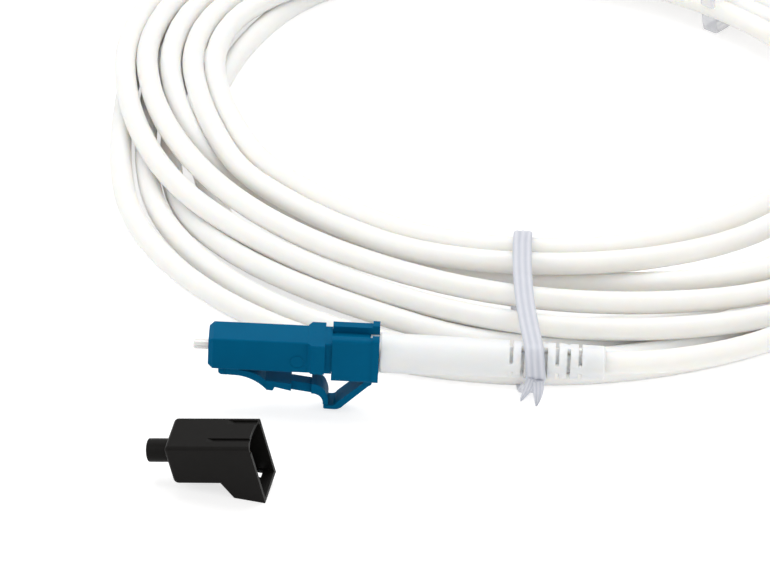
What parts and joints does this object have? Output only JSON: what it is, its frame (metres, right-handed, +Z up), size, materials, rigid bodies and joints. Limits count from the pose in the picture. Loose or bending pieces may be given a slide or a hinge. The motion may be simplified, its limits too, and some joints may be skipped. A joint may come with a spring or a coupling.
{
  "type": "lc fibre patch cord connector",
  "caption": "Small-form-factor latched fibre plug with ceramic ferrule, strain-relief boot and coiled simplex cord, its dust cap laid beside it.",
  "frame": {"origin": "centre of the plug housing's front face, on the ferrule's axis", "axes": "+X runs back from the ferrule towards the boot and the cord, +Z is up, and the latch is underneath"},
  "size_m": [0.1289, 0.1748, 0.0119],
  "materials": {
    "blue_plastic": "satin moulded blue plastic",
    "zirconia": "polished white ceramic",
    "metal": "plated metal",
    "white_rubber": "matte white elastomer",
    "jacket": "satin white cable jacket",
    "buffer": "white tight buffer",
    "glass_fibre": "clear",
    "aramid": "yellow yarn",
    "black_cap": "satin black plastic",
    "clear_tie": "translucent plastic"
  },
  "bodies": {
    "connector": {"spring": "metal", "plug_housing": "blue_plastic", "rear_housing": "blue_plastic", "trigger_clip": "blue_plastic", "crimp_barrel": "metal", "aramid_yarn": "aramid", "crimp_sleeve": "metal", "boot": "white_rubber", "jacket_end": "jacket", "dust_cap": "black_cap", "cord_lead": "jacket", "cord_coil": "jacket", "cord_far_lead": "jacket", "coil_tie_front": "clear_tie", "coil_tie_back": "clear_tie", "far_housing": "blue_plastic", "far_clip": "blue_plastic", "far_ferrule": "zirconia", "far_boot": "white_rubber", "far_dust_cap": "black_cap"},
    "ferrule": {"ferrule": "zirconia", "ferrule_flange": "metal", "buffer_tube": "buffer", "optical_fibre": "glass_fibre"},
    "latch": {"latch_arm": "blue_plastic"},
    "trigger": {"trigger_lever": "blue_plastic"}
  },
  "joints": [
    {"name": "ferrule_slide", "type": "slide", "parent": "connector", "child": "ferrule", "axis": [1, 0, 0], "range_m": [0, 0.0008], "stiffness_N_per_m": 2000, "deforming": ["spring"]},
    {"name": "trigger_flex", "type": "hinge", "parent": "connector", "child": "trigger", "pos_m": [0.02055, 0, -0.0037], "axis": [0, 1, 0], "range_deg": [0, 13]},
    {"name": "latch_flex", "type": "hinge", "parent": "connector", "child": "latch", "pos_m": [0.00275, 0, -0.0029], "axis": [0, -1, 0], "range_deg": [0, 5.4], "stiffness_Nm_per_rad": 0.1}
  ],
  "couplings": [
    {"joint": "trigger_flex", "follows": "latch_flex", "ratio": 2.38}
  ]
}
